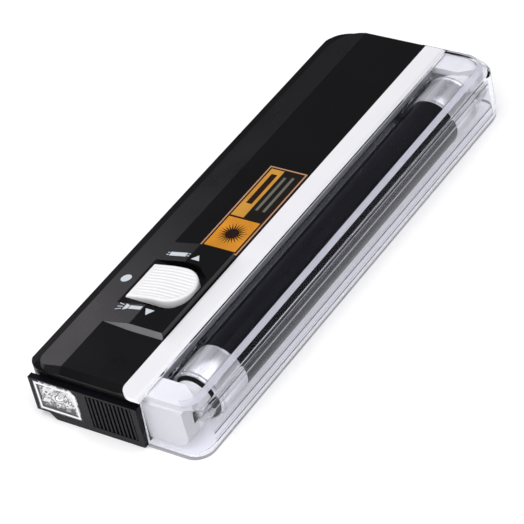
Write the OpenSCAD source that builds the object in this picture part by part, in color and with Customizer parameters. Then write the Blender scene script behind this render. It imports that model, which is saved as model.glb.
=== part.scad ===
// Handheld banknote checker: a black case with a slide switch, a torch at one end, and an
// ultraviolet tube under a clear cover along its right side.
// Lengths are in millimetres. The device lies on its back: +Z is up, +Y runs from the
// torch end to the far end, and the tube is on the +X side. Modules below measure X from
// the case's left side and Y from the torch end; place() then centres the result.

/* [Overall] */
// Width over the case and the clear cover
total_w = 57.2; // [56:0.1:60]
// Length over everything
total_l = 162.4; // [161:0.1:168]
// Height of the flat part of the top
case_h = 17.9; // [17.5:0.1:19]
// Thickness of the black case's walls
wall = 1.3; // [1:0.1:1.5]

/* [Case] */
// Width of the black top shell, up to the white frame
shell_w = 33.3; // [32.5:0.1:34]
// Height of the seam between the top and bottom shells
seam_z = 8.8; // [7:0.1:10]
// Setback of the case's front wall behind the torch bezel's face
front_y = 1.85; // [1.5:0.05:2.5]
// Distance of the fold between sloping flank and flat top from the left side
fold_x = 12.4; // [11:0.1:14]
// Rise of the sloping flank per millimetre of width
flank_slope = 0.22; // [0.15:0.01:0.25]
// Plan radius of the left corner at the torch end
near_r = 6; // [4:0.5:8]
// Plan radius of the left corner at the far end
far_r = 10; // [6:0.5:12]

/* [Switch] */
// Height of the raised switch field above the flat top
field_rise = 2.1; // [1.5:0.1:2.5]
// Start of the raised switch field along the case
field_y0 = 22.85; // [22:0.05:26]
// End of the raised switch field along the case
field_y1 = 57.8; // [54:0.1:58]
// Centre of the thumb knob's travel along the case
knob_y = 40.4; // [39:0.1:42]
// Travel of the thumb knob to each side of its middle position
knob_travel = 2.2; // [1:0.1:2.2]
// Half length of the thumb knob
knob_r = 7.1; // [6.9:0.1:7.1]

/* [Tube] */
// Length of the tube between its two end faces
tube_l = 135.9; // [135:0.1:136.5]
// Radius of the tube's glass
glass_r = 7.5; // [7:0.1:7.6]
// Radius of the tube's end caps
cap_r = 7.8; // [7.4:0.1:7.9]
// Distance of the tube's axis from the case's left side
tube_x = 47.4; // [47.2:0.1:47.6]
// Height of the tube's axis
tube_z = 9; // [8.9:0.1:9.1]
// Start of the tube along the device
tube_y0 = 14.4; // [14.2:0.1:14.6]

/* [Cover] */
// Wall of the clear cover above and below the tube
cover_t = 0.9; // [0.8:0.1:1]
// Wall of the clear cover at its side and ends
cover_side_t = 1.3; // [1:0.1:1.5]
// Plan radius of the clear cover's corner at the torch end
cover_near_r = 5; // [4:0.5:5.5]
// Plan radius of the clear cover's corner at the far end
cover_far_r = 7.5; // [5:0.5:8]

/* [Batteries] */
// Length of one cell without its button
cell_l = 49.2; // [48:0.1:49.5]
// Radius of one cell
cell_r = 6.95; // [6.8:0.05:7]

/* [Hidden] */
$fn = 48;

// Case outline
edge_drop = 0.08;
edge_x = 2.75;
edge_z = case_h - (fold_x - edge_x) * flank_slope;
side_z = edge_z - edge_drop;
side_r = 0.6;
shell_end = total_l;
bevel_y = 1.75;
bevel_z = 1.7;
top_near_r = 4;
top_far_r = 8;
base_w = 38.4;
base_t = 1.5;
base_edge_r = 1.2;

// White frame
strip_x0 = shell_w + 0.1;
strip_x1 = 40.4;
strip_z = 18;
strip_t = 1.5;
strip_edge_r = 1.4;
strip_y0 = 0.3;
strip_y1 = 160.6;
strip_corner_r = 4;
ledge_z = strip_z - strip_t - 1.2;
far_wall_y = strip_y1 + 0.2;
web_x = 36.8;
web_t = 1.1;

// Switch
field_z = case_h + field_rise;
field_flat_x = fold_x + field_rise / flank_slope;
field_w = shell_w - 0.3;
field_roof = 1.7;
recess_z = case_h - 0.2;
recess_x0 = 11.4;
recess_x1 = 32.4;
recess_half = 9.5;
recess_corner_r = 7;
knob_x0 = 12.9;
knob_cx = 24.6;
knob_rise = 0.75;
knob_gap = 0.25;
groove_r = 0.25;
groove_pitch = 1.2;
groove_count = 9;
stem_w = 5;
stem_half = 2;
slot_half = stem_half + knob_travel + 0.3;
switch_x = 24;
board_z = 7.6;
board_t = 1.2;
board_top = board_z + board_t;
board_y0 = 15.5;
board_y1 = 48.8;
coil_y0 = 21;
coil_y1 = 30;
can_z0 = board_top;
can_z1 = 14;
can_w = 7;
can_half = 8;
post_w = 2.4;
post_half = 1.5;
post_z1 = 16.6;
stem_z0 = 14.4;

// Torch bezel
bezel_x0 = 2.2;
bezel_x1 = 38.5;
bezel_h = 13.8;
window_x0 = 3.9;
window_x1 = 17.5;
window_z0 = 3;
window_z1 = 12.7;
lens_margin = 0.6;
lens_t = 0.8;
rib_x0 = 21.5;
rib_x1 = 36.5;
rib_z0 = 2;
rib_z1 = 13.1;
rib_count = 11;
rib_pitch = (rib_x1 - rib_x0) / rib_count;
rib_depth = 0.7;
hook_x0 = 19;
hook_x1 = 20.6;
hook_z = [4, 10.5];
hook_h = 1.8;
torch_x = (window_x0 + window_x1) / 2;
torch_z = (window_z0 + window_z1) / 2;
reflector_y0 = 0.95;
reflector_l = 9;
bulb_y0 = 4.2;
bulb_r = 1.6;
base_y0 = 9;
base_r = 2.3;
socket_back_y = reflector_y0 + reflector_l + 0.1;

// Tube and sockets
tube_y1 = tube_y0 + tube_l;
tube_mid = tube_y0 + tube_l / 2;
rim_r = 0.5;
cap_l = 12.1;
pin_r = 1.175;
pin_pitch = 5;
pin_l = 7;
rotor_r = 4.6;
rotor_bore_r = 4.68;
rotor_y0 = 9.6;
rotor_y1 = 13.6;
socket_y1 = 13.7;
holder_x0 = web_x + web_t;
holder_x1 = 51.4;
holder_y0 = [3.5, 4];
holder_z0 = 1.55;
holder_z1 = 14.2;
plate_y1 = 11.2;
plate_z1 = 16.2;
// Outer edge of the holders' upper plates, from the white frame round to the tube, at the
// torch end and at the far end, where the cover's corner is rounder
plate_edge = [[[holder_x0, 4.1], [51, 4.1], [53.4, 5.6], [53.6, 7.4]],
    [[holder_x0, 4.5], [48.3, 4.5], [51.2, 5.35], [53, 7], [53.2, 7.6]]];
plate_inner_x = 48;
pin_chamber_y0 = 7;
pin_chamber_r = 3.95;
blade_z = 4;
blade_t = 0.35;
mirror_r = 9;
mirror_t = 0.25;
wire_r = 0.4;
wire_y = 5.9;
wire_rise = 4.85;
wire_lane_x = 36.2;

// Cover
cover_x0 = 38.6;
// Cover slices: height, right side, near end, far end
cover_outside = [[0, 56.4, 1.2, 162], [1.6, 57.2, 1.3, 162.4], [15.3, 57.2, 2.3, 162.3],
    [18, 54.6, 3.4, 160.9]];

// Batteries
col_x = [9.2, 24];
cell_z = 8.55;
button_l = 1;
tab_w = 3;
tab_z = 6;
bay_y0 = 51.2;
bay_y1 = total_l - wall - 3.3;
plate_t = 0.4;
door_x0 = 4;
door_x1 = 32;
door_y0 = 49.2;
door_t = 1.25;
cell_y0 = bay_y1 - plate_t - 0.1 - 2 * (cell_l + button_l);
tongue_w = 0.8;
tongue_z0 = 0.55;
tongue_z1 = 1.05;
door_gap = 0.15;

// Screws: [x, y]
screws = [[27, 8.5], [6.4, 44], [34, 57], [34, 147]];
screw_r = 1.1;
screw_head_r = 1.85;
screw_head_z = 1.6;
screw_head_t = 1.3;
screw_top = 14.2;

// Label
label_x0 = 19.9;
label_y0 = 59;
label_w = 12.6;
label_l = 37.2;

// Moves a shape measured from the left side and the torch end to the part's origin
module place() {
    translate([-total_w / 2, -total_l / 2, 0])
        children();
}

// Sweeps an outline drawn in X and Z along the length from y0 to y1
module along_y(y0, y1) {
    translate([0, y1, 0])
        rotate([90, 0, 0])
            linear_extrude(y1 - y0)
                children();
}

// Sweeps an outline drawn in Y and Z across the width from x0 to x1
module along_x(x0, x1) {
    translate([x0, 0, 0])
        rotate([90, 0, 90])
            linear_extrude(x1 - x0)
                children();
}

// A cylinder lying along the length
module rod_y(x, z, r, y0, y1) {
    translate([x, y0, z])
        rotate([-90, 0, 0])
            cylinder(r = r, h = y1 - y0);
}

module box(x0, x1, y0, y1, z0, z1) {
    translate([x0, y0, z0])
        cube([x1 - x0, y1 - y0, z1 - z0]);
}

// Everything that is outside a rounded corner of radius r whose edges meet at the origin
module corner_waste(r) {
    difference() {
        translate([-1, -1])
            square(r + 1);
        translate([r, r])
            circle(r);
    }
}

// Rectangle in plan with two rounded left corners
module rounded_plan(x0, y0, x1, y1, r_near, r_far) {
    difference() {
        translate([x0, y0])
            square([x1 - x0, y1 - y0]);
        translate([x0, y0])
            corner_waste(r_near);
        translate([x0, y1])
            mirror([0, 1])
                corner_waste(r_far);
    }
}

// Plan outline of the case, set in by d
module case_plan(d, x1) {
    rounded_plan(d, front_y + d, x1, shell_end - d, near_r - d, far_r - d);
}

// Cross-section of the case's top, set in by d, over the flat top or the switch field
module top_section(d, flat_x, flat_z, x1) {
    drop = d * 1.02;
    polygon([
        [d, 0],
        [d, side_z - side_r - d / 2],
        [d + side_r, side_z - d],
        [edge_x + d / 2, edge_z - drop],
        [flat_x, flat_z - drop],
        [x1, flat_z - drop],
        [x1, 0]
    ]);
}

// Solid space of the case above z0, set in by d
module case_space(d, z0, x1) {
    intersection() {
        along_y(front_y + d, shell_end - d)
            top_section(d, fold_x, case_h, x1);
        translate([0, 0, z0])
            linear_extrude(case_h)
                case_plan(d, x1);
    }
}

// Flank and flat top, lowered by drop and set in at both ends
module top_layer(inset, drop) {
    intersection() {
        along_y(front_y + inset, shell_end - inset)
            polygon([
                [edge_x, seam_z],
                [edge_x, edge_z - drop],
                [fold_x, case_h - drop],
                [shell_w, case_h - drop],
                [shell_w, seam_z]
            ]);
        linear_extrude(case_h)
            rounded_plan(edge_x, front_y + inset, shell_w, shell_end - inset, top_near_r,
                top_far_r);
    }
}

// Outside of the top shell: the bevelled top and the flatter ledge along its left edge
module case_top() {
    hull() {
        top_layer(bevel_y, 0);
        top_layer(0, bevel_z);
    }
    intersection() {
        along_y(front_y, shell_end)
            polygon([
                [0, seam_z],
                [0, side_z - side_r],
                [side_r, side_z],
                [edge_x, edge_z],
                [shell_w, edge_z - bevel_z],
                [shell_w, seam_z]
            ]);
        linear_extrude(case_h)
            case_plan(0, shell_w);
    }
}

// Outline of the recess that the thumb knob slides in
module recess_plan() {
    translate([recess_x0, knob_y - recess_half])
        difference() {
            square([recess_x1 - recess_x0, 2 * recess_half]);
            for (side = [0, 1])
                translate([recess_x1 - recess_x0, side * 2 * recess_half])
                    mirror([1, 0])
                        mirror([0, side])
                            corner_waste(recess_corner_r);
        }
}

// Hollows under the raised switch field, before and behind the recess
module field_hollow() {
    for (y = [[field_y0 + wall, knob_y - recess_half - wall],
            [knob_y + recess_half + wall, field_y1 - wall]])
        along_y(y[0], y[1])
            translate([0, -field_roof])
                intersection() {
                    top_section(0, field_flat_x, field_z, field_w - wall);
                    translate([fold_x, 0])
                        square([shell_w, 30]);
                }
}

// Inner walls, ledge and screw bosses of the top shell
module top_inside() {
    // front wall beyond the roof, below the white frame's end
    box(shell_w - 1, 37.2, front_y, front_y + wall, seam_z, strip_z - strip_t);
    box(37, base_w, front_y, front_y + wall, bezel_h + 0.1, strip_z - strip_t);
    // far wall beyond the roof, behind the white frame's end
    along_x(shell_w - 1, base_w)
        polygon([
            [far_wall_y, seam_z],
            [shell_end, seam_z],
            [shell_end, case_h - bevel_z],
            [far_wall_y, case_h]
        ]);
    // ledge that carries the white frame
    box(shell_w - 2.2, web_x - 0.1, front_y + 1, strip_y1 - 1, ledge_z, ledge_z + 1.2);
    box(shell_w - 2.2, shell_w, front_y + 2, shell_end - 2, ledge_z, case_h - 0.6);
    intersection() {
        union() {
            for (p = screws)
                translate([p[0], p[1], seam_z])
                    cylinder(r = 1.7, h = (p[0] > shell_w ? strip_z - strip_t : case_h) - seam_z);
            // wall between the circuit and the battery bay
            box(wall - 0.1, 31.6, bay_y0 - 1.2, bay_y0, seam_z, case_h);
        }
        case_space(0.5, seam_z, shell_w + 4);
    }
}

module top_shell() {
    color([0.03, 0.03, 0.035])
        place()
            difference() {
                union() {
                    difference() {
                        union() {
                            case_top();
                            along_y(field_y0, field_y1)
                                intersection() {
                                    top_section(0, field_flat_x, field_z, field_w);
                                    translate([fold_x - 1, seam_z])
                                        square([shell_w, 20]);
                                }
                        }
                        case_space(wall, 0, shell_w + 1);
                        field_hollow();
                    }
                    top_inside();
                }
                translate([0, 0, recess_z])
                    linear_extrude(field_z)
                        recess_plan();
                // slot for the knob's stem
                box(switch_x - stem_w / 2 - 0.3, switch_x + stem_w / 2 + 0.3,
                    knob_y - slot_half, knob_y + slot_half, case_h - 3, field_z + 1);
                // torch opening
                box(window_x0 - 0.2, window_x1 + 0.2, 0, front_y + wall + 1,
                    seam_z - 1, window_z1 + 0.6);
                // slot for the bezel's upper hook
                box(hook_x0 - 0.2, hook_x1 + 0.2, 0, front_y + wall + 1,
                    hook_z[1] - 0.2, hook_z[1] + hook_h + 0.2);
                for (p = screws)
                    translate([p[0], p[1], seam_z - 1])
                        cylinder(r = screw_r, h = screw_top - seam_z + 1.3);
            }
}

module bottom_shell() {
    color([0.035, 0.035, 0.04])
        place()
            difference() {
                union() {
                    difference() {
                        linear_extrude(seam_z)
                            case_plan(0, base_w);
                        translate([0, 0, base_t])
                            linear_extrude(seam_z)
                                case_plan(wall, base_w + 1);
                        // chamfer along the lower left edge
                        along_y(0, total_l + 1)
                            polygon([[-1, -1], [base_edge_r + 1, -1], [-1, base_edge_r + 1]]);
                        // the bezel wraps the front wall's right end
                        box(37.2, base_w + 1, 0, front_y + wall + 0.1, -1, seam_z + 1);
                    }
                    // wall between the circuit and the battery bay
                    box(wall - 0.1, 31.6, bay_y0 - 1.2, bay_y0, base_t - 0.1, seam_z);
                    // wall beside the cells
                    box(31.4, 32.2, bay_y0, shell_end - wall + 0.1, base_t - 0.1, seam_z);
                    // ribs behind the far contact plate
                    for (x = [9, 15.5, 22])
                        box(x, x + 1.2, bay_y1, shell_end - wall + 0.1, base_t - 0.1, seam_z);
                    intersection() {
                        for (p = screws)
                            translate([p[0], p[1], base_t - 0.1])
                                cylinder(r = 3, h = seam_z - base_t + 0.1);
                        box(wall - 0.2, web_x - 0.1, 0, total_l, 0, seam_z);
                    }
                    // pillars under the circuit board
                    for (p = [[6, 18], [33, 18], [33, 46.5]])
                        translate([p[0], p[1], base_t - 0.1])
                            cylinder(r = 1.8, h = board_z - base_t + 0.1);
                }
                // door opening and the grooves along its sides
                box(door_x0 - door_gap, door_x1 + door_gap, door_y0 - door_gap, total_l + 1,
                    -1, base_t);
                box(door_x0 - tongue_w - door_gap, door_x1 + tongue_w + door_gap,
                    door_y0 - door_gap, total_l + 1, tongue_z0 - door_gap,
                    tongue_z1 + door_gap);
                // torch opening and the slot for the bezel's lower hook
                box(window_x0 - 0.2, window_x1 + 0.2, 0, front_y + wall + 1, window_z0 - 0.6,
                    seam_z + 1);
                box(hook_x0 - 0.2, hook_x1 + 0.2, 0, front_y + wall + 1,
                    hook_z[0] - 0.2, hook_z[0] + hook_h + 0.2);
                // slots for the tabs of the battery contacts
                for (x = col_x)
                    box(x - tab_w / 2 - 0.1, x + tab_w / 2 + 0.1, bay_y0 - 2, bay_y0 + 1,
                        tab_z - 0.1, tab_z + plate_t + 0.1);
                for (p = screws) {
                    translate([p[0], p[1], -1])
                        cylinder(r = screw_head_r + 0.15, h = screw_head_z + screw_head_t + 1);
                    translate([p[0], p[1], 0])
                        cylinder(r = screw_r + 0.15, h = seam_z + 1);
                }
            }
}

module battery_door() {
    color([0.035, 0.035, 0.04])
        place()
            difference() {
                union() {
                    intersection() {
                        box(door_x0, door_x1, door_y0, total_l, 0, door_t);
                        linear_extrude(door_t)
                            case_plan(0, base_w);
                    }
                    intersection() {
                        box(door_x0 - tongue_w, door_x1 + tongue_w, door_y0, total_l,
                            tongue_z0, tongue_z1);
                        linear_extrude(door_t)
                            case_plan(0, base_w);
                    }
                }
                // thumb grooves
                for (i = [0:5])
                    box(12, 24, door_y0 + 4 + 2 * i, door_y0 + 5 + 2 * i, -1, 0.4);
            }
}

// Face outline of the torch bezel, with a step at its lower left corner
module bezel_face() {
    polygon([[bezel_x0, 2], [6.4, 2], [8.3, 0], [bezel_x1 - 0.5, 0], [bezel_x1, 0.5],
        [bezel_x1, bezel_h], [bezel_x0, bezel_h]]);
}

// Outline of the torch lens, set in by d, with its upper right corner cut off
module lens_face(d) {
    x0 = window_x0 - lens_margin + d;
    x1 = window_x1 + lens_margin - d;
    z0 = window_z0 - lens_margin + d;
    z1 = window_z1 + lens_margin - d;
    polygon([[x0, z0], [x1, z0], [x1, z1 - 1.6], [x1 - 1.6, z1], [x0, z1]]);
}

module torch_bezel() {
    color([0.04, 0.04, 0.045])
        place() {
            difference() {
                along_y(0, front_y)
                    bezel_face();
                along_y(-1, lens_t + 0.05)
                    lens_face(0);
                box(window_x0, window_x1, -1, front_y + 1, window_z0, window_z1);
                box(rib_x0, rib_x1, -1, rib_depth, rib_z0, rib_z1);
            }
            for (i = [0:rib_count - 1])
                box(rib_x0 + (i + 0.25) * rib_pitch, rib_x0 + (i + 0.75) * rib_pitch,
                    0.1, rib_depth + 0.1, rib_z0 - 0.1, rib_z1 + 0.1);
            // flange that wraps the case's right corner
            box(37.3, bezel_x1, front_y - 0.1, front_y + wall - 0.05, 0.5, bezel_h);
            for (z = hook_z) {
                box(hook_x0, hook_x1, front_y - 0.1, front_y + wall + 1, z, z + hook_h);
                box(hook_x0, hook_x1, front_y + wall + 0.1, front_y + wall + 1,
                    z, z + hook_h + 0.5);
            }
        }
}

module torch_lens() {
    color([0.85, 0.88, 0.92, 0.35])
        place()
            along_y(0.05, lens_t)
                lens_face(0.06);
}

module torch_reflector() {
    color([0.85, 0.86, 0.88])
        place()
            difference() {
                box(window_x0 + 0.2, window_x1 - 0.2, reflector_y0, reflector_y0 + reflector_l,
                    window_z0 + 0.2, window_z1 - 0.2);
                // flat-sided funnel
                intersection() {
                    translate([torch_x, reflector_y0 - 1, torch_z])
                        rotate([-90, 22.5, 0])
                            cylinder(r1 = 9.4, r2 = 2.9, h = reflector_l, $fn = 8);
                    box(window_x0 + 0.8, window_x1 - 0.8, reflector_y0 - 1,
                        reflector_y0 + reflector_l, window_z0 + 0.8, window_z1 - 0.8);
                }
                rod_y(torch_x, torch_z, base_r + 0.1, reflector_y0, reflector_y0 + 20);
            }
}

module torch_bulb_glass() {
    color([0.9, 0.85, 0.8, 0.5])
        place()
            translate([torch_x, bulb_y0, torch_z])
                rotate([-90, 0, 0]) {
                    translate([0, 0, bulb_r])
                        cylinder(r = bulb_r, h = base_y0 - bulb_y0 - bulb_r);
                    translate([0, 0, bulb_r])
                        sphere(r = bulb_r);
                }
}

module torch_bulb_base() {
    color([0.75, 0.68, 0.5])
        place() {
            rod_y(torch_x, torch_z, base_r, base_y0, base_y0 + 3.6);
            rod_y(torch_x, torch_z, 1, base_y0 + 3.5, base_y0 + 4.4);
        }
}

module torch_socket() {
    color([0.1, 0.1, 0.1])
        place()
            difference() {
                box(torch_x - 3.6, torch_x + 3.6, socket_back_y, base_y0 + 5,
                    torch_z - 3.6, torch_z + 3.6);
                rod_y(torch_x, torch_z, base_r + 0.1, socket_back_y - 1, base_y0 + 3.7);
                rod_y(torch_x, torch_z, 1.1, base_y0 + 3, base_y0 + 4.5);
            }
}

module tube_frame() {
    color([0.93, 0.93, 0.94])
        place()
            difference() {
                union() {
                    intersection() {
                        along_y(strip_y0, strip_y1)
                            difference() {
                                translate([strip_x0, strip_z - strip_t])
                                    square([strip_x1 - strip_x0, strip_t]);
                                translate([strip_x1, strip_z])
                                    mirror([1, 0])
                                        mirror([0, 1])
                                            corner_waste(strip_edge_r);
                            }
                        linear_extrude(strip_z + 1)
                            difference() {
                                translate([strip_x0, strip_y0])
                                    square([strip_x1 - strip_x0, strip_y1 - strip_y0]);
                                translate([strip_x0, strip_y0])
                                    corner_waste(strip_corner_r);
                            }
                    }
                    // upright web between the battery side and the tube side
                    box(web_x, web_x + web_t, front_y + wall + 0.15, strip_y1, base_t,
                        strip_z - strip_t + 0.1);
                }
                // holes for the lamp wires
                for (y = [wire_y, 2 * tube_mid - wire_y])
                    for (side = [-1, 1])
                        translate([web_x - 1, y, tube_z + side * wire_rise])
                            rotate([0, 90, 0])
                                cylinder(r = wire_r + 0.2, h = web_t + 2);
            }
}

module mirror_reflector() {
    color([0.8, 0.82, 0.84])
        place()
            along_y(tube_y0 - 0.2, tube_y1 + 0.2)
                translate([tube_x, tube_z])
                    difference() {
                        circle(r = mirror_r + mirror_t);
                        circle(r = mirror_r);
                        translate([mirror_r * cos(132), -20])
                            square([40, 40]);
                    }
}

// One slice of the clear cover: right corners rounded, left side open-ended at x0
module cover_slice(s, x0, d) {
    x1 = s[1] - d;
    y0 = s[2] + d * 0.85;
    y1 = s[3] - d * 0.85;
    rn = cover_near_r - d;
    rf = cover_far_r - d;
    translate([0, 0, s[0]])
        linear_extrude(0.02)
            hull() {
                translate([x0, y0])
                    square([1, y1 - y0]);
                translate([x1 - rn, y0 + rn])
                    circle(rn);
                translate([x1 - rf, y1 - rf])
                    circle(rf);
            }
}

module clear_cover() {
    inside_z = [cover_t, 2.1, 15.1, strip_z - cover_t];
    color([0.85, 0.87, 0.95, 0.3])
        place()
            difference() {
                hull()
                    for (s = cover_outside)
                        cover_slice([min(s[0], strip_z - 0.02), s[1], s[2], s[3]], cover_x0, 0);
                hull()
                    for (i = [0:3])
                        cover_slice([inside_z[i], cover_outside[i][1], cover_outside[i][2],
                            cover_outside[i][3]], cover_x0 - 5, cover_side_t);
                // room for the white frame's overhanging strip
                box(cover_x0 - 1, strip_x1 + 0.12, 0, strip_y1 + 0.15, strip_z - strip_t - 0.12,
                    strip_z + 1);
            }
}

// Lamp holder, as it stands at the torch end: an upright block, an upper plate and a round
// socket. The edge is 0 for the holder at the torch end and 1 for the one at the far end.
module lamp_holder(edge) {
    difference() {
        union() {
            difference() {
                box(holder_x0, holder_x1, holder_y0[edge], rotor_y0, holder_z0, holder_z1);
                along_y(0, 20)
                    translate([holder_x1, holder_z0])
                        mirror([1, 0])
                            corner_waste(4.5);
            }
            translate([0, 0, holder_z1 - 0.1])
                linear_extrude(plate_z1 - holder_z1 + 0.1)
                    polygon(concat(plate_edge[edge], [[plate_inner_x, plate_y1],
                        [holder_x0, plate_y1]]));
            rod_y(tube_x, tube_z, 6, rotor_y0 - 1, socket_y1);
        }
        rod_y(tube_x, tube_z, rotor_bore_r, rotor_y0 - 0.1, socket_y1 + 1);
        rod_y(tube_x, tube_z, pin_chamber_r, pin_chamber_y0, socket_y1);
        // side slot that the tube's pins come in through
        box(tube_x, tube_x + 20, pin_chamber_y0, socket_y1 + 1, tube_z - 1.35, tube_z + 1.35);
        for (side = [0, 1])
            translate([0, 0, tube_z])
                mirror([0, 0, side]) {
                    // pocket for a contact blade
                    box(tube_x - 1.5, tube_x + 1.5, wire_y - 0.9, rotor_y0 - 0.15,
                        pin_chamber_r - 0.6, blade_z + blade_t + 0.1);
                    // channel for its wire
                    translate([holder_x0 - 1, wire_y, wire_rise])
                        rotate([0, 90, 0])
                            cylinder(r = wire_r + 0.2, h = tube_x - holder_x0);
                }
    }
}

// Rotor that locks the tube's two pins; its slot is open at the top
module socket_rotor() {
    difference() {
        rod_y(tube_x, tube_z, rotor_r, rotor_y0, rotor_y1);
        box(tube_x - pin_r - 0.05, tube_x + pin_r + 0.05, 0, 20,
            tube_z - pin_pitch / 2 - pin_r - 0.05, tube_z + rotor_r + 1);
    }
}

// Two contact blades, above and below the pins
module socket_contacts() {
    for (side = [0, 1])
        translate([0, 0, tube_z])
            mirror([0, 0, side])
                box(tube_x - 1.3, tube_x + 1.3, wire_y - 0.7, rotor_y0 - 0.3,
                    blade_z, blade_z + blade_t);
}

// Cap of the tube at the torch end: a thin cup with a rolled rim and a groove behind it
module tube_cap() {
    translate([tube_x, tube_y0, tube_z])
        rotate([-90, 0, 0])
            rotate_extrude()
                difference() {
                    union() {
                        translate([glass_r, 0])
                            square([cap_r - glass_r, cap_l]);
                        translate([cap_r - rim_r, rim_r])
                            circle(rim_r);
                    }
                    translate([cap_r, 2 * rim_r + 0.35])
                        circle(0.22);
                }
}

module tube_base() {
    difference() {
        rod_y(tube_x, tube_z, glass_r - 0.05, tube_y0 + 2 * rim_r + 0.05, tube_y0 + 2.6);
        for (side = [-1, 1])
            rod_y(tube_x, tube_z + side * pin_pitch / 2, pin_r, tube_y0, tube_y0 + 2.1);
    }
}

module lamp_holder_near() {
    color([0.93, 0.93, 0.93])
        place()
            lamp_holder(0);
}

module lamp_holder_far() {
    color([0.93, 0.93, 0.93])
        place()
            far_end()
                lamp_holder(1);
}

// Mirrors a piece of the torch end to the tube's far end
module far_end() {
    translate([0, 2 * tube_mid, 0])
        mirror([0, 1, 0])
            children();
}

module socket_rotor_near() {
    color([0.9, 0.9, 0.9])
        place()
            socket_rotor();
}

module socket_rotor_far() {
    color([0.9, 0.9, 0.9])
        place()
            far_end()
                socket_rotor();
}

module socket_contacts_near() {
    color([0.75, 0.62, 0.35])
        place()
            socket_contacts();
}

module socket_contacts_far() {
    color([0.75, 0.62, 0.35])
        place()
            far_end()
                socket_contacts();
}

module uv_tube_glass() {
    color([0.02, 0.02, 0.04])
        place()
            difference() {
                rod_y(tube_x, tube_z, glass_r, tube_y0 + 2.7, tube_y1 - 2.7);
                rod_y(tube_x, tube_z, glass_r - 0.8, tube_y0, tube_y1);
            }
}

module tube_cap_near() {
    color([0.8, 0.81, 0.83])
        place()
            tube_cap();
}

module tube_cap_far() {
    color([0.8, 0.81, 0.83])
        place()
            far_end()
                tube_cap();
}

module tube_base_near() {
    color([0.06, 0.05, 0.05])
        place()
            tube_base();
}

module tube_base_far() {
    color([0.06, 0.05, 0.05])
        place()
            far_end()
                tube_base();
}

module tube_pins() {
    color([0.8, 0.75, 0.6])
        place()
            for (side = [-1, 1]) {
                rod_y(tube_x, tube_z + side * pin_pitch / 2, pin_r, tube_y0 - pin_l,
                    tube_y0 + 2);
                rod_y(tube_x, tube_z + side * pin_pitch / 2, pin_r, tube_y1 - 2,
                    tube_y1 + pin_l);
            }
}

// Glass foot, two lead wires and the coil between them
module cathode() {
    rod_y(tube_x, tube_z, glass_r - 0.85, tube_y0 + 2.8, tube_y0 + 3.6);
    rod_y(tube_x, tube_z, 1.6, tube_y0 + 3.5, tube_y0 + 9);
    for (side = [-1, 1])
        rod_y(tube_x, tube_z + side * 1.2, 0.3, tube_y0 + 8.5, tube_y0 + 14);
    translate([tube_x, tube_y0 + 14, tube_z - 2])
        cylinder(r = 0.5, h = 4);
}

module tube_cathodes() {
    color([0.7, 0.72, 0.72])
        place() {
            cathode();
            far_end()
                cathode();
        }
}

// Plan outline of the thumb knob: flat on the left, round on the right
module knob_plan() {
    translate([knob_x0, knob_y - knob_r])
        square([knob_cx - knob_x0, 2 * knob_r]);
    translate([knob_cx, knob_y])
        circle(knob_r);
}

// Cross-section of the thumb knob: a level underside, and a top that falls with the flank
module knob_section() {
    low = recess_z + knob_gap;
    high = field_z + knob_rise;
    polygon([
        [knob_x0, low],
        [shell_w, low],
        [shell_w, high],
        [field_flat_x, high],
        [knob_x0, high - (field_flat_x - knob_x0) * flank_slope]
    ]);
}

module switch_knob() {
    color([0.95, 0.95, 0.95])
        place()
            difference() {
                union() {
                    intersection() {
                        along_y(0, total_l)
                            knob_section();
                        linear_extrude(30)
                            knob_plan();
                    }
                    box(switch_x - stem_w / 2, switch_x + stem_w / 2, knob_y - stem_half,
                        knob_y + stem_half, stem_z0, field_z - 0.5);
                }
                // pocket for the switch's post
                box(switch_x - post_w / 2 - 0.1, switch_x + post_w / 2 + 0.1,
                    knob_y - post_half - 0.1, knob_y + post_half + 0.1, stem_z0 - 1,
                    post_z1 + 0.1);
                // grip grooves across the knob
                for (i = [0:groove_count - 1])
                    along_x(knob_x0 + 2, knob_cx + 3.5)
                        translate([knob_y + (i - (groove_count - 1) / 2) * groove_pitch,
                                field_z + knob_rise])
                            circle(r = groove_r, $fn = 16);
            }
}

module switch_actuator() {
    color([0.15, 0.15, 0.15])
        place() {
            box(switch_x - can_w / 2 + 0.7, switch_x + can_w / 2 - 0.7, knob_y - 3, knob_y + 3,
                can_z0 + 1.4, can_z1 - 0.5);
            box(switch_x - post_w / 2, switch_x + post_w / 2, knob_y - post_half,
                knob_y + post_half, can_z1 - 0.6, post_z1);
        }
}

module slide_switch_can() {
    color([0.75, 0.76, 0.78])
        place()
            difference() {
                box(switch_x - can_w / 2, switch_x + can_w / 2, knob_y - can_half,
                    knob_y + can_half, can_z0, can_z1);
                box(switch_x - can_w / 2 + 0.3, switch_x + can_w / 2 - 0.3,
                    knob_y - can_half + 0.3, knob_y + can_half - 0.3, can_z0 - 1,
                    can_z1 - 0.3);
                box(switch_x - post_w / 2 - 0.2, switch_x + post_w / 2 + 0.2,
                    knob_y - post_half - knob_travel - 0.3,
                    knob_y + post_half + knob_travel + 0.3, can_z0, can_z1 + 1);
            }
}

module slide_switch_base() {
    color([0.35, 0.2, 0.1])
        place() {
            box(switch_x - can_w / 2 + 0.35, switch_x + can_w / 2 - 0.35,
                knob_y - can_half + 0.35, knob_y + can_half - 0.35, can_z0, can_z0 + 1.2);
            for (i = [-1:1])
                translate([switch_x, knob_y + 4 * i, board_z - 0.8])
                    cylinder(r = 0.4, h = board_t + 1);
        }
}

module circuit_board() {
    color([0.55, 0.4, 0.2])
        place()
            difference() {
                box(4.2, 35.5, board_y0, board_y1, board_z, board_z + board_t);
                translate([screws[1][0], screws[1][1], 0])
                    cylinder(r = 3.3, h = 20);
                for (i = [-1:1])
                    translate([switch_x, knob_y + 4 * i, 0])
                        cylinder(r = 0.45, h = 20);
            }
}

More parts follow.
